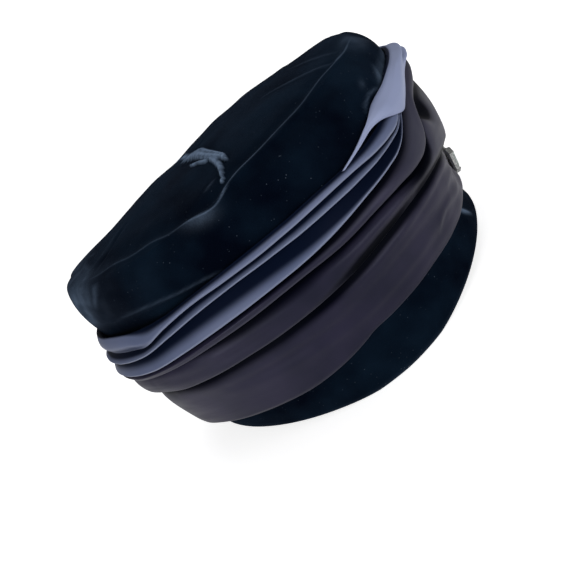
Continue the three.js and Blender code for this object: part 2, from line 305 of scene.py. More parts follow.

# Gathers at both ends of the crown, with painted sheen on the crushed pile there.
back_end = bell(degrees, 168, 22)
front_end = bell(degrees, 0, 26)
gathers = np.sin(degrees * 0.55 + 0.9) + np.sin(degrees * 0.31)
rise += on_wall * gathers * ease(height, 116, 130) * 0.6 * (front_end + back_end)
mottled = 0.78 + 0.22 * swell(crown, 9, 14)
back_corner = bell(degrees - 156.5 + (height - 130) * 0.3, 0, 6.5)
crush_sheen += 0.42 * ease(past_rim, 7, -5) * mottled * back_corner * ease(height, 114, 124)
crush_sheen += 0.27 * mottled * back_end * ease(height, 112, 126) * ease(past_rim, 16, 4)
crush_sheen += 0.20 * mottled * bell(degrees, 25, 6) * ease(height, 126, 133) * ease(past_rim, 8, 0)
crush_sheen += 0.24 * on_wall * mottled * ease(degrees, 44, 34) * ease(height, 124, 119)
# For each of these creases: its line, its width, how far it stands out and how much painted sheen its
# crushed pile takes.
for line, width, stand, laid_sheen in (
    ([(141, 136.5), (144, 133), (147, 128)], 1.6, 0.8, 0.22),
    ([(37, 123), (39, 119), (42, 116.5)], 1.4, 0.9, 0.30),
    ([(43, 116), (45, 117.6), (48, 118.6), (52, 117), (53, 115)], 0.9, 0.9, 0.22),
    ([(46, 125), (48, 123)], 1.6, 0.4, 0.12),
):
    trace = on_wall * near(arc, height, [(u * VELVET_DEGREE, v) for u, v in line], width)
    rise += stand * trace
    crush_sheen += laid_sheen * trace
dent = [(45 * VELVET_DEGREE, 115), (50 * VELVET_DEGREE, 115.5)]
rise -= 1.4 * on_wall * near(arc, height, dent, 1.6)

# The tip: creases that run in from both gathers, with painted sheen on their crushed pile, and the
# bow-shaped tuck across its middle.
for line, width, stand, laid_sheen in (
    ([(-38, -40), (-45.8, -57), (-52.4, -68), (-57, -76)], 1.2, 0.9, 0.17),
    ([(-14, -66), (-30, -75.8), (-44, -83)], 1.4, 0.9, 0.12),
    ([(-33, 64), (-41, 73.5), (-43, 83)], 2.4, -1.6, 0.0),
    ([(-28, 64), (-36, 73), (-39, 82)], 2.2, 0.9, 0.07),
    ([(-2, 92), (-19, 92.4), (-43, 87)], 2.6, 1.0, 0.12),
    ([(-43, 89), (-38.7, 94)], 1.4, 0.7, 0.15),
    ([(-16, 83.5), (-4, 89)], 1.6, 0.6, 0.12),
    ([(-80.6, 8.1), (-82.3, 15.3)], 0.7, 0.5, 0.2),
    ([(-70, 30), (-60, 52), (-44, 66)], 6.0, 0.7, 0.0),
):
    trace = on_tip * near(x_right, y_plan, line, width)
    rise += stand * trace
    crush_sheen += laid_sheen * trace
rise -= 1.2 * on_tip * near(x_plan, y_plan, [(20, 10), (-40, 3), (-84, 4)], 11)
# For each strip of the tuck: its line, its widths, how far it stands out, how many pleats it holds
# and whether it starts low.
for line, widths, stand, pleats, starts_low in (
    ([(24, 15), (2, 12), (-14, 9), (-28, 3.6), (-45, 1.6), (-58, -0.4), (-68, -2.2), (-76, -2.4)],
     (1.0, 2.6, 3.4, 4.3, 3.7, 2.7, 1.9, 1.0), 2.2, 2.5, True),
    ([(-58, 2.4), (-66, 1.4), (-74, 1.8), (-80, 2.8), (-84, 4.6), (-88, 6.6)],
     (1.0, 1.7, 1.8, 1.2, 0.9, 0.6), 1.9, 1.0, False),
    ([(-54, 4.6), (-47, 7), (-43.5, 9.2), (-39, 11.6)], (1.4, 1.5, 1.2, 0.6), 1.6, 1.0, False),
):
    inside, across, along = strip(x_plan, y_plan, line, widths)
    inside = inside * on_tip
    creased = 0.5 + 0.5 * np.cos(across * np.pi * pleats + 2 * along)
    if starts_low:
        stand = stand * ease(along, -0.1, 0.45)
    rise += inside * stand * np.sqrt(np.clip(1.1 - across**2, 0, 1)) * (0.85 + 0.15 * creased)
    # The tuck's strips take painted sheen, brightest along their pleats.
    crush_sheen = np.maximum(crush_sheen, inside * (0.62 + 0.38 * creased))

rise += 0.9 * swell(crown, 70, 3) * ease(height, 100, 118)
rise += 0.28 * swell(crown, 24, 8) * ease(height, 100, 118)
rise += 1.6 * on_wall * front_end * ease(height, 118, 128)  # the full front corner of the crown
raised += 1.6 * front_end * ease(past_rim, -14, 0) * ease(past_rim, 40, 10)
rise -= on_wall * tucked_in(degrees, height)
crush_sheen *= 0.9 + 0.1 * swell(crown, 5, 5)
crush_sheen = np.where(crush_sheen < 0.6, crush_sheen * 0.75, crush_sheen)  # painted sheen made fainter, save where the pile is crushed most
crown = crown + crown_out * rise[..., None] + np.array([0, 0, 1]) * raised[..., None]

# The stuffed-looking ends of the crown are rounder than its sides.
roundness = np.clip(1.3 * bell(from_front, 172, 20) + 0.5 * bell(from_front, 0, 24), 0, 1)
for _ in range(ROUNDING_PASSES):
    eased = (crown[4:-3] + crown[6:-1]) / 2 - crown[5:-2]
    crown[5:-2] += 0.5 * roundness[:, None] * eased

# The inner face follows every fifth row of the outer one, the wall's thickness in from it.
inner = (crown - crown_out * VELVET_WALL)[::-5]
inner = np.concatenate([inner, crown[:1] - crown_out[:1] * VELVET_WALL])
crown_top = crown[-1].mean(axis=0)
velvet_crown = ring_mesh(
    "crown_velvet",
    np.concatenate([inner, crown]),
    {"crush_sheen": np.concatenate([np.zeros(inner.shape[:2]), np.clip(crush_sheen, 0, 1)])},
    poles=(crown_top - (0, 0, VELVET_WALL), crown_top),
)


def new_group(name, inputs, outputs):
    """A shader node group with named inputs and outputs, and its input and output nodes."""
    group = bpy.data.node_groups.new(name, "ShaderNodeTree")
    for label, kind, value in inputs:
        socket = group.interface.new_socket(label, in_out="INPUT", socket_type=kind)
        socket.default_value = value
    for label, kind in outputs:
        group.interface.new_socket(label, in_out="OUTPUT", socket_type=kind)
    return group, group.nodes.new("NodeGroupInput"), group.nodes.new("NodeGroupOutput")


def join(tree, node, socket, source):
    """Sets a node's input: from another node's output, or to a plain value."""
    if isinstance(source, bpy.types.NodeSocket):
        tree.links.new(source, node.inputs[socket])
    else:
        node.inputs[socket].default_value = source


def math_node(tree, operation, first, second):
    node = tree.nodes.new("ShaderNodeMath")
    node.operation = operation
    join(tree, node, 0, first)
    join(tree, node, 1, second)
    return node.outputs[0]


def mix_colour(tree, share, first, second):
    node = tree.nodes.new("ShaderNodeMix")
    node.data_type = "RGBA"
    join(tree, node, 0, share)
    join(tree, node, 6, first)
    join(tree, node, 7, second)
    return node.outputs[2]


def spread(tree, source, low, high, to_low=0.0, to_high=1.0):
    """Maps one range of values on another, without running past it."""
    node = tree.nodes.new("ShaderNodeMapRange")
    join(tree, node, 0, source)
    for socket, value in zip((1, 2, 3, 4), (low, high, to_low, to_high)):
        node.inputs[socket].default_value = value
    return node.outputs[0]


def noise(tree, vector, scale, detail=2.0, roughness=0.5):
    node = tree.nodes.new("ShaderNodeTexNoise")
    join(tree, node, "Vector", vector)
    join(tree, node, "Scale", scale)
    node.inputs["Detail"].default_value = detail
    node.inputs["Roughness"].default_value = roughness
    return node.outputs["Fac"]


# Velvet pile: fine tufts, cloudy brushing by hand, and a few light specks of lint.
pile_group, pile_in, pile_out = new_group(
    "velvet pile",
    [("Tuft scale", "NodeSocketFloat", 1600.0), ("Brush scale", "NodeSocketFloat", 28.0)],
    [("Height", "NodeSocketFloat"), ("Brushed", "NodeSocketFloat"), ("Lint", "NodeSocketFloat")],
)
place = pile_group.nodes.new("ShaderNodeTexCoord").outputs["Object"]
tufts = noise(pile_group, place, pile_in.outputs["Tuft scale"], 3.0, 0.6)
brushed = noise(pile_group, place, pile_in.outputs["Brush scale"], 3.0, 0.55)
specks = pile_group.nodes.new("ShaderNodeTexVoronoi")
pile_group.links.new(place, specks.inputs["Vector"])
specks.inputs["Scale"].default_value = 480.0
core = spread(pile_group, specks.outputs["Distance"], 0.07, 0.16, 1.0, 0.0)
pick = pile_group.nodes.new("ShaderNodeSeparateColor")
pile_group.links.new(specks.outputs["Color"], pick.inputs[0])
chosen = spread(pile_group, pick.outputs[0], 0.72, 1.0)
pile_group.links.new(tufts, pile_out.inputs["Height"])
pile_group.links.new(spread(pile_group, brushed, 0.35, 0.68), pile_out.inputs["Brushed"])
pile_group.links.new(math_node(pile_group, "MULTIPLY", core, chosen), pile_out.inputs["Lint"])


def new_material(name):
    material = bpy.data.materials.new(name)
    material.use_nodes = True
    tree = material.node_tree
    shader = next(node for node in tree.nodes if node.type == "BSDF_PRINCIPLED")
    return material, tree, shader


def place_group(tree, group, values):
    node = tree.nodes.new("ShaderNodeGroup")
    node.node_tree = group
    for label, value in values.items():
        join(tree, node, label, value)
    return node


def bump(tree, shader, source, distance, strength):
    node = tree.nodes.new("ShaderNodeBump")
    node.inputs["Strength"].default_value = strength
    node.inputs["Distance"].default_value = distance
    tree.links.new(source, node.inputs["Height"])
    tree.links.new(node.outputs[0], shader.inputs["Normal"])


VELVET_DEEP = (0.0004, 0.0016, 0.0055, 1)
VELVET_BRUSHED = (0.0034, 0.0092, 0.0190, 1)
# the painted sheen of crushed pile
VELVET_CRUSHED_SHEEN = (0.19, 0.265, 0.39, 1)
VELVET_LINT = (0.055, 0.07, 0.095, 1)

velvet, tree, shader = new_material("navy silk velvet")
pile = place_group(tree, pile_group, {"Tuft scale": 1500.0, "Brush scale": 26.0})
laid_sheen = tree.nodes.new("ShaderNodeAttribute")
laid_sheen.attribute_name = "crush_sheen"
tone = mix_colour(tree, pile.outputs["Brushed"], VELVET_DEEP, VELVET_BRUSHED)
# Painted sheen on the crushed pile, patchy with the tufts, over the brushed navy.
patchy_sheen = math_node(
    tree, "MULTIPLY", laid_sheen.outputs["Fac"], spread(tree, pile.outputs["Height"], 0.3, 0.7, 0.75, 1.15))
tone = mix_colour(tree, patchy_sheen, tone, VELVET_CRUSHED_SHEEN)
tone = mix_colour(tree, pile.outputs["Lint"], tone, VELVET_LINT)
join(tree, shader, "Base Color", tone)
shader.inputs["Roughness"].default_value = 0.95
shader.inputs["Specular IOR Level"].default_value = 0.02
shader.inputs["Sheen Weight"].default_value = 0.035
shader.inputs["Sheen Roughness"].default_value = 0.35
shader.inputs["Sheen Tint"].default_value = (0.42, 0.62, 1.0, 1)
bump(tree, shader, pile.outputs["Height"], 0.0005, 0.6)

velvet_crown.data.materials.append(velvet)
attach(velvet_crown, "root")
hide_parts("velvet_crown")

# ---------------------------------------------------------------------------------------------
# Velvet cuff. The band of the same velvet at the head opening, turned under over a stiff band;
# its hem arches up a little at the front and the back, and its top edge is sewn in under the satin.

CUFF_WALL = 3
HEM_WALL = 3.5  # where the velvet is turned under
CUFF_ROWS = 22
HEM_RISE, HEM_FLAT, HEM_POWER = 13, 0.25, 1.25

hem = HEM_RISE * (np.maximum(0, np.abs(np.cos(around)) - HEM_FLAT) / (1 - HEM_FLAT)) ** HEM_POWER
cuff_levels = np.concatenate([[0.0, 0.02, 0.05, 0.1], np.linspace(0.16, 1, CUFF_ROWS)])
turn_under = np.concatenate([[1.3, 0.5, 0.15, 0.0], np.zeros(CUFF_ROWS)])


def cuff_ring(level, inset):
    """Points of the cuff at a share of the way from the hem to the joint."""
    z = hem + (joint - hem) * level
    front, back, side = reach(VELVET, z, -inset)
    return plan(around, front, back, side, z)


cuff_outside = np.array([cuff_ring(level, inset) for level, inset in zip(cuff_levels, turn_under)])
cuff_out = outward(cuff_outside)
cuff_deg = np.broadcast_to(from_front, cuff_outside.shape[:2])
cuff_z = cuff_outside[..., 2]
inside_hem = ease(cuff_levels, 0.05, 0.3)[:, None]
slack = 0.5 * swell(cuff_outside, 40, 11) + 0.15 * swell(cuff_outside, 13, 12)
# A crushed crease low at the front stands out and takes painted sheen; the hem is a little lighter all
# along.
cuff_crease_line = [(u * VELVET_DEGREE, v) for u, v in ((35.5, 29), (34, 24), (32, 19))]
crease_and_sheen = near(cuff_deg * VELVET_DEGREE, cuff_z, cuff_crease_line, 1.7)
hem_lighter = near(cuff_deg, cuff_z - hem, [(20, 0.5), (160, 0.5)], 1.2, fade=False)
cuff_sheen_and_hem = np.clip(0.62 * crease_and_sheen + 0.10 * hem_lighter, 0, 1)
cuff_outside = cuff_outside + cuff_out * (slack * inside_hem + 0.7 * crease_and_sheen)[..., None]
cuff_inside = np.array([cuff_ring(level, inset) for level, inset in (
    (1, CUFF_WALL), (0.6, CUFF_WALL), (0.34, CUFF_WALL),
    (0.33, HEM_WALL), (0.12, HEM_WALL), (0.03, 3.1), (0, 2.2),
)])
velvet_cuff = ring_mesh(
    "cuff_velvet",
    np.concatenate([cuff_outside, cuff_inside]),
    {"crush_sheen": np.concatenate([cuff_sheen_and_hem, np.zeros((len(cuff_inside), COLUMNS))])},
    loop=True,
)
velvet_cuff.data.materials.append(velvet)
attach(velvet_cuff, "root")
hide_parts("velvet_cuff")

# ---------------------------------------------------------------------------------------------
# Plum satin drape. The lower half of the wound satin, one satin with the slate half, its darker plum
# colour painted shade: a wide panel drawn in under the brooch, a broad roll that comes down over it
# from the front, and a narrow fold that runs up beside the tab.
# It is pleated by hand, and each pleat laps over the one below.

# Height, then how far the crests of the folds reach to the front, the back and the side.
SATIN = np.array([
    (18, 110, 114, 92.5), (32, 112, 119, 93.5), (52, 117, 122, 98), (65, 121, 124, 102.5),
    (81, 124, 128.5, 106), (95, 124, 127, 107), (108, 124, 122.5, 105.5), (121, 120, 122, 105.5),
])
SATIN_SEAT = 0.5  # from the velvet underneath to the back of the satin
CLOTH = 0.6
BEND = 0.75  # radius of the cloth where a pleat turns under
DRAWN_IN = 5.2  # how far the brooch draws in the cloth beside it
PLUM_DEGREE = 1.9  # about the length of one degree along the drape

# Height of the lower edge of each fold at these angles from the front, the same on both sides.
PANEL_EDGE = through(from_front, (
    0, 15, 30, 40, 50, 60, 70, 80, 88, 95, 105, 115, 125, 135, 145, 160, 180), (
    26, 27, 29, 28.5, 29, 30.2, 30.8, 31.8, 32.6, 30.8, 28.4, 27.2, 28, 29, 29.5, 26, 23))
BROAD_EDGE = through(from_front, (
    0, 15, 30, 40, 50, 60, 70, 80, 90, 100, 110, 120, 130, 140, 150, 165, 180), (
    41, 52, 61.5, 63.8, 65.0, 66.6, 66.6, 66.6, 67.8, 68.4, 68.3, 68.3, 68, 67.5, 67.8, 66, 65))
NARROW_EDGE = through(from_front, (
    0, 15, 25, 30, 35, 38, 40, 41.5, 43.5, 46, 52, 60, 70, 80, 90, 100, 110, 120, 135, 150, 180), (
    106, 105, 102.5, 100.6, 98.6, 96, 91.2, 85.8, 80.4, 78, 77.2, 79.4, 81.4, 82.2, 84.2, 85, 84.9,
    84.4, 83.2, 82, 81.5))
SLOPE_EDGE = through(from_front, (
    0, 20, 30, 37, 42, 45, 47, 50, 55, 60, 70, 80, 90, 100, 110, 120, 130, 140, 150, 180), (
    113.6, 113.8, 113.4, 111, 107.6, 104.6, 101, 95.5, 91.2, 90.5, 90.5, 90.3, 90.7, 91.2, 91.1, 90.5,
    89.2, 87.5, 86.8, 86))


def fold(lower, upper, roll, edge, top, shape, steps, shade, crest=0.0, under=0.0, starts=False):
    """One pleat from its lower edge up to where the next one hides it.

    Each row is its heights, its depths, its painted shade and its painted highlight near the folded edge;
    the rows turned under take full painted shade. roll is how far above the edge the crest lies, edge
    and top are the depths at the two ends, shade is the shares of the pleat between which its painted
    shade deepens, and under how much painted shade its roll takes.
    """
    blank = np.zeros(COLUMNS)
    roll, edge, top, crest, under = (blank + value for value in (roll, edge, top, crest, under))
    width = upper - lower
    roll = np.minimum(roll, 0.55 * width)
    back = 2 * BEND
    rows = []
    if not starts:  # low enough in a narrow pleat to stay behind its sloping face
        turned_in = np.clip(width * 0.32, BEND + 0.5, 2.6)
        rows.append((lower + turned_in, edge + crest + back + 1.1, blank + 1, blank))
    rows.append((lower + BEND + 0.4, edge + crest + back + 0.4, blank + 1, blank))
    for turn in np.linspace(0, np.pi, 6):
        height, out = lower + BEND * (1 - np.sin(turn)), edge + crest + BEND * (1 + np.cos(turn))
        rows.append((height, out, np.maximum(under, ease(turn, 2.2, 1.2)), ease(turn + blank, 1.4, 2.6)))
    for t in np.linspace(0, 1, max(4, steps // 4) + 1)[1:]:
        out = crest + edge * (1 - np.sin(t * np.pi / 2) ** 1.3)
        height = lower + BEND + (roll - BEND * 0.9) * t
        rows.append((height, out, under * ease(t, 1.0, 0.35), ease(height - lower, 1.7, 0.5)))
    start = lower + np.maximum(roll, BEND * 1.1)
    for t in np.linspace(0, 1, steps)[1:]:
        out = crest + (top - crest) * t**shape
        height = start + (upper - start) * t
        rows.append((height, out, ease(t + blank, *shade), ease(height - lower, 1.7, 0.5)))
    rows.append((upper + np.minimum(1.6, width * 0.4), top + 0.3, blank + 1, blank))
    return rows


def drape_points(rows):
    """Places the rows on the hat, clear of the velvet, and gives their depths and masks too."""
    points = []
    for z, depth, *_ in rows:
        depth = depth + DRAWN_IN * bell(from_front, 19, 12) * ease(z, 27, 36) * ease(z, 64, 52)
        crests, least = reach(SATIN, z), reach(VELVET, z, SATIN_SEAT + CLOTH - tucked_in(from_front, z))
        ways = [np.maximum(crest - depth, floor) for crest, floor in zip(crests, least)]
        points.append(plan(around, *ways, z))
    return np.array(points), *(np.array([row[k] for row in rows]) for k in (1, 2, 3))


def sideways(points):
    """Level directions out from the middle, which hold for the turned-in rows too."""
    level = points * (1, 1, 0)
    return level / np.linalg.norm(level, axis=-1, keepdims=True)


def soften(rows, count, amount=0.5):
    """Eases the corners between neighbouring rows."""
    for _ in range(count):
        rows[1:-1] += amount * ((rows[:-2] + rows[2:]) / 2 - rows[1:-1])
    return rows


broad_roll = through(from_front, (0, 30, 40, 50, 60, 70, 80, 90, 100, 110, 180), (
    3, 4.5, 5.5, 6.5, 8, 9.5, 8.5, 5, 2.4, 2, 2))
broad_edge_depth = through(from_front, (0, 30, 40, 50, 60, 70, 80, 90, 100, 110, 180), (
    1, 1.8, 2.6, 3.4, 3.8, 4.2, 3.6, 2, 0.7, 0.5, 0.5))
loose_front = 0.8 * ease(from_front, 10, 24) * ease(from_front, 62, 54)
loose_roll_shade = np.maximum(bell(from_front, 73, 17), loose_front)  # painted shade under the broad roll where it hangs loose, and less on the panel there
plum_rows = fold(
    PANEL_EDGE, BROAD_EDGE, 3.0, 0.9, 5.6, 5.0, 30, (0.76 + 0.10 * loose_roll_shade, 0.95), starts=True)
plum_rows += fold(
    BROAD_EDGE, NARROW_EDGE, broad_roll, broad_edge_depth, 5.4, 2.0, 24,
    (0.50 + 0.4 * ease(from_front, 112, 138), 0.90 + 0.2 * ease(from_front, 112, 138)),
    under=loose_roll_shade)
side_shade = bell(from_front, 84, 30)  # along the side the narrow fold takes painted shade over more of its height
plum_rows += fold(
    NARROW_EDGE, SLOPE_EDGE, 2.2, 0.6, 5.0, 1.6, 18, (0.45 - 0.4 * side_shade, 0.85 - 0.3 * side_shade),
    crest=through(from_front, (0, 45, 60, 75, 120, 150, 180), (0, 0, 0.4, 1.2, 1.4, 1.0, 1.0)))
plum, plum_depth, plum_shade, plum_edge_highlight = drape_points(plum_rows)
plum_out = sideways(plum)
plum_z = plum[..., 2]
plum_deg = np.broadcast_to(from_front, plum_z.shape)
plum_arc = plum_deg * PLUM_DEGREE

# Long soft pulls that run out from under the brooch, and the deep pocket above the broad roll. The
# pocket leans back as it rises, and counts a degree as less than its length, which widens it.
POCKET = {"degrees": 34.4, "degree": 1.7, "z": 92, "width": 6.0, "height": 11.0, "depth": 3.6}
POCKET_LEAN = (0.86, 0.5)
pulls = np.zeros(plum_z.shape)
for line, width, stand in (
    ([(6, 44), (22, 52), (34, 58.0), (50, 60.0), (80, 61.5), (110, 63)], 1.7, 0.9),
    ([(6, 42), (24, 49), (36, 55), (46, 57), (70, 58)], 1.5, -0.7),
    ([(6, 39), (24, 45), (36, 50.5), (42, 50)], 1.5, 0.8),
    ([(12, 38), (30, 43), (48, 47.5), (62, 51), (90, 54)], 3.0, -1.2),
    ([(12, 35), (34, 40), (60, 43.5), (95, 46), (130, 52)], 3.0, 0.9),
    ([(34, 34), (41, 38.5), (48, 42), (54, 40)], 1.6, -1.0),
    ([(36, 40), (42, 44.5), (52, 44.5), (55, 39)], 1.2, 0.7),
    ([(14, 32), (50, 35), (85, 38)], 2.2, 0.6),
    ([(80, 49), (105, 53), (130, 56)], 3.0, -1.0),
    ([(100, 57), (125, 60), (150, 62)], 2.6, 0.6),
    ([(46, 70), (60, 75), (90, 79), (125, 79)], 2.2, 0.6),
    ([(100, 74), (130, 75), (150, 77)], 2.8, -0.8),
    ([(47, 90), (52, 86), (62, 85.5)], 3.0, -0.6),
    ([(84, 88), (110, 88.4), (130, 86.6), (150, 84.8)], 0.9, 0.5),
    ([(92, 86.6), (112, 86.8), (132, 85.2), (150, 83.6)], 0.9, -0.5),
):
    pulls += stand * near(plum_arc, plum_z, [(u * PLUM_DEGREE, v) for u, v in line], width)
pocket_side = (plum_deg - POCKET["degrees"]) * POCKET["degree"]
pocket_up = plum_z - POCKET["z"]
across_pocket = pocket_side * POCKET_LEAN[0] - pocket_up * POCKET_LEAN[1]
along_pocket = pocket_side * POCKET_LEAN[1] + pocket_up * POCKET_LEAN[0]
pocket = np.exp(
    -np.abs(across_pocket / POCKET["width"]) ** 2.6 - np.abs(along_pocket / POCKET["height"]) ** 2.2)
below_lap = NARROW_EDGE - plum_z  # the narrow fold laps over the pocket
pocket *= ease(below_lap, -0.6, 0.4)
pulls -= POCKET["depth"] * pocket
pulls += 0.30 * swell(plum, 55, 21) + 0.10 * swell(plum, 18, 22)
visible = ease(plum_depth, 6.5, 2.5)
plum = soften(plum + plum_out * (pulls * visible)[..., None], 1)
under_lap = ease(below_lap, 8.5, 4) * ease(below_lap, -0.6, 0.2)
lap_shade = under_lap * ease(plum_deg, 20, 32) * ease(plum_deg, 66, 52)
# Painted shade: the shaded shares of the pleats, darkest in the pocket and in a band under the narrow
# fold's lap, and a little over the lower middle of the side.
plum_painted_shade = plum_shade + 1.4 * ease(pocket, 0.05, 0.6) + 0.9 * lap_shade
plum_painted_shade += 0.24 * bell(plum_deg, 84, 34) * ease(plum_z, 84, 76)
plum_painted_shade = np.clip(plum_painted_shade, 0, 1)
# Towards the front it takes some of the greyer colour of the folded edges, as painted highlight.
plum_edge_highlight = np.maximum(plum_edge_highlight, 0.6 * bell(plum_deg, 46, 14) * ease(plum_z, 62, 70))


def lined(piece, thickness):
    """Gives a sheet of cloth its thickness, on its inner side."""
    wall = piece.modifiers.new("cloth", "SOLIDIFY")
    wall.thickness = thickness * MM
    wall.offset = -1
    bpy.context.view_layer.update()
    shape = piece.evaluated_get(bpy.context.evaluated_depsgraph_get())
    mesh = bpy.data.meshes.new_from_object(shape)
    piece.modifiers.remove(wall)
    piece.data = mesh
    mesh.shade_smooth()
    return piece


# Satin weave: fine threads across the light, slow streaks along the cloth and uneven dye.
satin_group, satin_in, satin_out = new_group(
    "satin weave",
    [("Threads", "NodeSocketFloat", 2600.0), ("Streak", "NodeSocketFloat", 34.0)],
    [("Height", "NodeSocketFloat"), ("Streaks", "NodeSocketFloat"), ("Dye", "NodeSocketFloat")],
)
cloth_map = satin_group.nodes.new("ShaderNodeUVMap")
cloth_map.uv_map = "cloth"
stretch = satin_group.nodes.new("ShaderNodeMapping")
stretch.inputs["Scale"].default_value = (0.12, 1.0, 1.0)
satin_group.links.new(cloth_map.outputs[0], stretch.inputs["Vector"])
threads = noise(satin_group, stretch.outputs[0], satin_in.outputs["Threads"], 2.0, 0.5)
fine_streak = math_node(satin_group, "MULTIPLY", satin_in.outputs["Streak"], 6.0)
streaks = noise(satin_group, stretch.outputs[0], fine_streak, 3.0, 0.55)
place = satin_group.nodes.new("ShaderNodeTexCoord").outputs["Object"]
dye = noise(satin_group, place, satin_in.outputs["Streak"], 2.0, 0.5)
satin_group.links.new(threads, satin_out.inputs["Height"])
satin_group.links.new(spread(satin_group, streaks, 0.3, 0.7), satin_out.inputs["Streaks"])
satin_group.links.new(spread(satin_group, dye, 0.3, 0.7), satin_out.inputs["Dye"])


def satin_material(name, lit, dyed, painted_shade, edge, roughness):
    """Satin with uneven dye, painted highlight on its folded edges and painted shade in its folds."""
    material, tree, shader = new_material(name)
    weave = place_group(tree, satin_group, {})
    tone = mix_colour(tree, weave.outputs["Dye"], lit, dyed)
    highlight_mask, shade_mask = (tree.nodes.new("ShaderNodeAttribute") for _ in range(2))
    highlight_mask.attribute_name, shade_mask.attribute_name = "edge", "painted_shade"
    # Painted highlight near the folded edges, then painted shade in the folds, which also dims the
    # reflection.
    tone = mix_colour(tree, highlight_mask.outputs["Fac"], tone, edge)
    tone = mix_colour(tree, shade_mask.outputs["Fac"], tone, painted_shade)
    join(tree, shader, "Base Color", tone)
    join(tree, shader, "Roughness", spread(
        tree, weave.outputs["Streaks"], 0.0, 1.0, roughness - 0.05, roughness + 0.06))
    join(tree, shader, "Specular IOR Level", spread(tree, shade_mask.outputs["Fac"], 0.0, 0.85, 0.30, 0.02))
    shader.inputs["Specular Tint"].default_value = (0.78, 0.80, 1.0, 1)
    shader.inputs["Sheen Weight"].default_value = 0.02
    shader.inputs["Sheen Roughness"].default_value = 0.35
    bump(tree, shader, weave.outputs["Height"], 0.00012, 0.35)
    return material


plum_satin_shaded = satin_material(
    "plum satin in painted shade", lit=(0.022, 0.0190, 0.044, 1), dyed=(0.0105, 0.0105, 0.026, 1),
    painted_shade=(0.0006, 0.0011, 0.0034, 1), edge=(0.042, 0.042, 0.064, 1), roughness=0.42)
plum_drape_shaded = lined(
    ring_mesh("drape_plum_shaded", plum, {"painted_shade": plum_painted_shade, "edge": plum_edge_highlight}), CLOTH)
plum_drape_shaded.data.materials.append(plum_satin_shaded)
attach(plum_drape_shaded, "root")
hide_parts("satin_drape_lower")

# ---------------------------------------------------------------------------------------------
# Slate satin drape. The upper half of the wound satin, its lighter slate colour painted light: a
# sloping fold with a crisp lit edge, a thin fold above it and a ribbon that ends the drape against
# the crown.

THIN_EDGE = through(from_front, (
    0, 20, 30, 37, 42, 45, 47, 50, 55, 60, 70, 80, 90, 100, 110, 120, 130, 140, 150, 180), (
    115, 115.2, 114.8, 112.6, 109, 105.8, 102.2, 98.2, 96.9, 96.8, 98.2, 100.1, 101.5, 102.7, 103.3,
    102.4, 100, 96.9, 95.8, 96))
RIBBON_EDGE = through(from_front, (
    0, 20, 30, 37, 42, 45, 47, 50, 55, 60, 70, 80, 90, 100, 110, 120, 130, 140, 150, 180), (
    116.4, 116.6, 116.2, 114.2, 110.4, 107, 103.4, 100, 99.4, 100.2, 103.3, 105.1, 106, 106.5, 107.1,
    107.2, 104.8, 100.4, 100.2, 100))
TOP_EDGE = through(from_front, (
    0, 20, 30, 37, 42, 46, 50, 54, 60, 70, 80, 90, 100, 110, 120, 130, 140, 150, 165, 180), (
    118.6, 118.8, 118.4, 117.4, 114.8, 111.6, 108.4, 106.4, 105.4, 106.6, 108.6, 109.6, 110.3, 110.5,
    110, 108.7, 109, 110.5, 110.5, 110))

lit_share = through(from_front, (0, 50, 60, 66, 72, 80, 90, 100, 110, 120, 135, 150, 180), (
    0.02, 0.02, 0.02, 0.03, 0.08, 0.18, 0.28, 0.36, 0.42, 0.48, 0.55, 0.6, 0.5))
slate_rows = fold(
    SLOPE_EDGE, THIN_EDGE, 1.0, 0.2, 4.8, 1.0, 20, (lit_share * 0.5 - 0.12, lit_share + 0.12), starts=True)
slate_rows += fold(THIN_EDGE, RIBBON_EDGE, 0.9, 0.2, 4.4, 0.9, 12, (0.1, 0.55), crest=0.4)
slack_back = ease(from_front, 134, 146)  # the ribbon's lower edge falls back there
# At the back the ribbon's roll takes painted shade, and its upper part less.
slate_rows += fold(
    RIBBON_EDGE, TOP_EDGE, 1.4 + 4.0 * slack_back, 0.2 + 3.0 * slack_back, 3.4 - 1.5 * slack_back,
    2.2, 14, (0.36 + 0.6 * slack_back, 0.92 + 0.2 * slack_back), crest=0.2,
    under=0.6 * slack_back)
blank = np.zeros(COLUMNS)
for below, depth in ((1.0, 4.8), (2.4, 9.0), (3.2, 14.0)):  # the raw edge, turned in and down, in full painted shade
    slate_rows.append((TOP_EDGE - below, depth + blank, 1 + blank, blank))
slate, slate_depth, slate_painted_shade, slate_edge_highlight = drape_points(slate_rows)
slate_out = sideways(slate)
slate_swell = 0.22 * swell(slate, 50, 31) + 0.07 * swell(slate, 16, 32)
slate = soften(slate + slate_out * (slate_swell * ease(slate_depth, 6, 2.5))[..., None], 1, 0.35)

slate_satin_lit = satin_material(
    "slate satin in painted light", lit=(0.125, 0.15, 0.25, 1), dyed=(0.105, 0.13, 0.225, 1),
    painted_shade=(0.003, 0.006, 0.018, 1), edge=(0.20, 0.23, 0.34, 1), roughness=0.36)
slate_drape_lit = lined(
    ring_mesh("drape_slate_lit", slate, {"painted_shade": slate_painted_shade, "edge": slate_edge_highlight}), CLOTH)
slate_drape_lit.data.materials.append(slate_satin_lit)
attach(slate_drape_lit, "root")
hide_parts("satin_drape_upper")

# ---------------------------------------------------------------------------------------------
# Satin tab. A strip of lighter lavender satin laid round the front over the top of the drape, its
# ends cut on a slant and each drawn out into a narrow tail along the drape's top edge. Its own
# lavender is made lighter still as painted light.

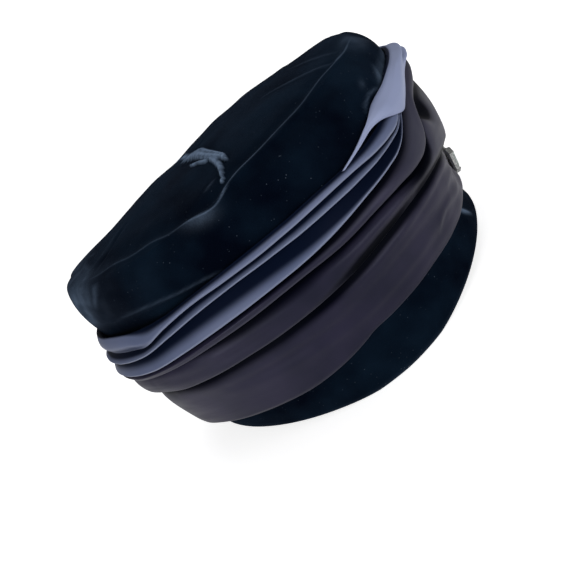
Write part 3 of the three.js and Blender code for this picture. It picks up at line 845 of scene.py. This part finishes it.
TAB_STEPS = 150  # an even number, so that every column lies on one side
TAB_LEVELS = 26
TAB_LIFT = 1.2
TAB_THICKNESS = 1.0
TAB_MAP = (0.0015, 0.0005)  # the steps of its UV map, along it and across it
tab_share = np.linspace(-1, 1, TAB_STEPS)
tab_side = np.sign(tab_share)
tab_run = np.abs(tab_share)
TAB_RUN = (0, 0.3, 0.42, 0.52, 0.60, 0.66, 0.72, 0.78, 0.84, 0.92, 1)
lower_deg = through(tab_run, TAB_RUN, (0, 22, 28, 36, 43, 46, 49.6, 54.3, 58, 64, 70.5))
lower_z = through(tab_run, TAB_RUN, (
    110.5, 112.0, 111.2, 108.8, 103.4, 101.2, 103.5, 107.9, 109.2, 108.1, 106.8))
upper_deg = through(tab_run, TAB_RUN, (0, 22, 31, 38, 44.5, 48.5, 52, 56, 60, 65.5, 71))
upper_z = through(tab_run, (0, 0.12, 0.2) + TAB_RUN[1:], (
    116.6, 118.6, 119.4, 119.0, 118.4, 117.8, 116.4, 115.8, 115.0, 113.2, 111.4, 109, 107.2))
tab_rows, tab_painted_shade = [], []
tail = ease(tab_run, 0.72, 0.84)
broad = 1 - tail
wrapped = ease(tab_run, 0.48, 0.34)  # round the front, where the strip lies in two soft folds
for level in np.linspace(0, 1, TAB_LEVELS):
    deg = lower_deg + (upper_deg - lower_deg) * level
    z = lower_z + (upper_z - lower_z) * level
    lift = TAB_LIFT - 1.9 * tail - 2.2 * broad * ease(level, 0.72, 1.0)
    lift = lift + (1.5 - 0.6 * wrapped) * np.sin(np.pi * level) ** 0.8 * broad
    lift = lift + wrapped * 2.0 * bell(level, 0.62, 0.19)
    lift = lift + wrapped * 2.6 * bell(level, 0.12, 0.16)
    lift = lift + 0.3 * np.sin(level * 9 + tab_run * 7) * broad
    # Where it narrows, its upper edge is tucked in against the crown.
    lift = lift - 2.2 * ease(level, 0.6, 1.0) * bell(deg, 50, 6.5)
    front, back, side = reach(SATIN, z, lift)
    tab_rows.append(plan(np.radians(deg) * tab_side, front, back, side, z))
    # Painted shade along its upper edge where it tucks in against the crown, and in the hollow between its
    # two folds round the front.
    tab_painted_shade.append(0.45 * ease(level, 0.86, 1.0) * broad + 0.5 * wrapped * bell(level, 0.36, 0.07))
tab_points = np.array(tab_rows)
tab_mesh = bpy.data.meshes.new("tab_satin")
index = np.arange(TAB_LEVELS * TAB_STEPS).reshape(TAB_LEVELS, TAB_STEPS)
tab_faces = np.stack([index[:-1, :-1], index[1:, :-1], index[1:, 1:], index[:-1, 1:]], -1)
tab_mesh.from_pydata((tab_points.reshape(-1, 3) * MM).tolist(), [], tab_faces.reshape(-1, 4).tolist())
corner = np.zeros(len(tab_mesh.loops), int)
tab_mesh.loops.foreach_get("vertex_index", corner)
tab_uv = np.stack([corner % TAB_STEPS * TAB_MAP[0], corner // TAB_STEPS * TAB_MAP[1]], -1)
tab_mesh.uv_layers.new(name="cloth").data.foreach_set("uv", tab_uv.astype(np.float32).ravel())
tab_shade_layer = tab_mesh.attributes.new("painted_shade", "FLOAT", "POINT")
tab_shade_layer.data.foreach_set("value", np.clip(tab_painted_shade, 0, 1).astype(np.float32).ravel())
tab_mesh.shade_smooth()
satin_tab = bpy.data.objects.new("tab_satin", tab_mesh)
bpy.context.scene.collection.objects.link(satin_tab)
lined(satin_tab, TAB_THICKNESS)
# Its own lighter lavender, made lighter still as painted light.
tab_lavender_and_light = satin_material(
    "lavender satin with painted light", lit=(0.30, 0.345, 0.52, 1), dyed=(0.27, 0.31, 0.48, 1),
    painted_shade=(0.03, 0.04, 0.08, 1), edge=(0.34, 0.38, 0.54, 1), roughness=0.42)
satin_tab.data.materials.append(tab_lavender_and_light)
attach(satin_tab, "root")
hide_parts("satin_tab")

# ---------------------------------------------------------------------------------------------
# Brooch. A clear oblong step-cut stone in a shallow cup of pale plated metal with a claw at each
# cut corner, sewn on at the front where the folds of the satin meet.


def refinish(name, material):
    """Gives a piece that is kept from the solids its finished material."""
    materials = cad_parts[name].data.materials
    materials.clear()
    materials.append(material)


metal, tree, shader = new_material("pale plated metal")
worn = noise(tree, tree.nodes.new("ShaderNodeTexCoord").outputs["Object"], 900.0, 3.0, 0.6)
join(tree, shader, "Base Color", mix_colour(
    tree, spread(tree, worn, 0.4, 0.65), (0.52, 0.53, 0.52, 1), (0.24, 0.25, 0.25, 1)))
join(tree, shader, "Roughness", spread(tree, worn, 0.35, 0.7, 0.22, 0.42))
shader.inputs["Metallic"].default_value = 1.0
bump(tree, shader, worn, 0.0002, 0.3)
refinish("brooch_setting", metal)

stone, tree, shader = new_material("clear step-cut stone")
clouded = noise(tree, tree.nodes.new("ShaderNodeTexCoord").outputs["Object"], 260.0, 2.0, 0.5)
join(tree, shader, "Base Color", mix_colour(
    tree, spread(tree, clouded, 0.35, 0.7), (0.66, 0.74, 0.70, 1), (0.48, 0.55, 0.52, 1)))
shader.inputs["Roughness"].default_value = 0.03
shader.inputs["IOR"].default_value = 1.54
shader.inputs["Transmission Weight"].default_value = 0.6
refinish("brooch_stone", stone)

# ---------------------------------------------------------------------------------------------
# Floor, light and camera. A plain white floor that brightens into the white surround, large soft
# lights from the front right, the back right and above, and the camera at the hat's right side.

FLOOR_REACH = 6.0
HAT_MIDDLE = (0, 0, 0.08)


def shown_brighter(tree, to_light, to_camera):
    """A strength for the surround, which looks whiter than the light that it gives."""
    ray = tree.nodes.new("ShaderNodeLightPath")
    return spread(tree, ray.outputs["Is Camera Ray"], 0.0, 1.0, to_light, to_camera)


floor_mesh = bpy.data.meshes.new("floor")
sides = [(math.cos(t) * FLOOR_REACH, math.sin(t) * FLOOR_REACH, 0.0)
         for t in np.linspace(0, 2 * np.pi, 97)[:-1]]
floor_mesh.from_pydata(sides, [], [list(range(len(sides)))])
floor = bpy.data.objects.new("floor", floor_mesh)
bpy.context.scene.collection.objects.link(floor)
paper, tree, shader = new_material("white floor")
shader.inputs["Base Color"].default_value = (0.86, 0.86, 0.87, 1)
shader.inputs["Roughness"].default_value = 0.9
shader.inputs["Specular IOR Level"].default_value = 0.1
shader.inputs["Emission Color"].default_value = (1, 1, 1, 1)
distance = tree.nodes.new("ShaderNodeVectorMath")
distance.operation = "LENGTH"
tree.links.new(tree.nodes.new("ShaderNodeTexCoord").outputs["Object"], distance.inputs[0])
glow = spread(tree, distance.outputs["Value"], 0.12, 0.5, 0.75, 1.0)
join(tree, shader, "Emission Strength", math_node(
    tree, "MULTIPLY", glow, shown_brighter(tree, 0.25, 1.0)))
floor.data.materials.append(paper)

camera_data = bpy.data.cameras.new("camera")
camera = bpy.data.objects.new("camera", camera_data)
bpy.context.scene.collection.objects.link(camera)
camera_data.lens = 36.31
camera_data.sensor_width = 36
camera_data.clip_start = 0.01
camera_data.clip_end = 50
AZIMUTH, ELEVATION, ROLL = (math.radians(angle) for angle in (-89.71, 21.72, -43.41))
back = Vector((math.sin(AZIMUTH) * math.cos(ELEVATION), -math.cos(AZIMUTH) * math.cos(ELEVATION),
               math.sin(ELEVATION)))
level = Vector((math.cos(AZIMUTH), math.sin(AZIMUTH), 0))
right = level * math.cos(ROLL) + back.cross(level) * math.sin(ROLL)
up = back.cross(right)
camera.matrix_world = Matrix.Translation((-0.3504, 0.0148, 0.1833)) @ Matrix(
    (right, up, back)).transposed().to_4x4()
bpy.context.scene.camera = camera


def soft_light(name, place, size, power):
    """A square light that faces the middle of the hat."""
    data = bpy.data.lights.new(name, "AREA")
    data.size = size
    data.energy = power
    lamp = bpy.data.objects.new(name, data)
    bpy.context.scene.collection.objects.link(lamp)
    lamp.location = place
    aim = Vector(HAT_MIDDLE) - Vector(place)
    lamp.rotation_euler = aim.to_track_quat("-Z", "Y").to_euler()


soft_light("window light", (-1.25, -0.95, 0.42), size=1.1, power=12)
soft_light("side light", (-1.0, 1.2, 0.45), size=0.9, power=9)
soft_light("top light", (0.1, -0.3, 1.6), size=1.2, power=8)

world = bpy.data.worlds.new("white surround")
bpy.context.scene.world = world
world.use_nodes = True
tree = world.node_tree
sky = next(node for node in tree.nodes if node.type == "BACKGROUND")
sky.inputs["Color"].default_value = (1, 1, 1, 1)
join(tree, sky, "Strength", shown_brighter(tree, 0.10, 1.2))

bpy.context.scene.view_settings.view_transform = "Standard"
bpy.context.scene.view_settings.look = "None"
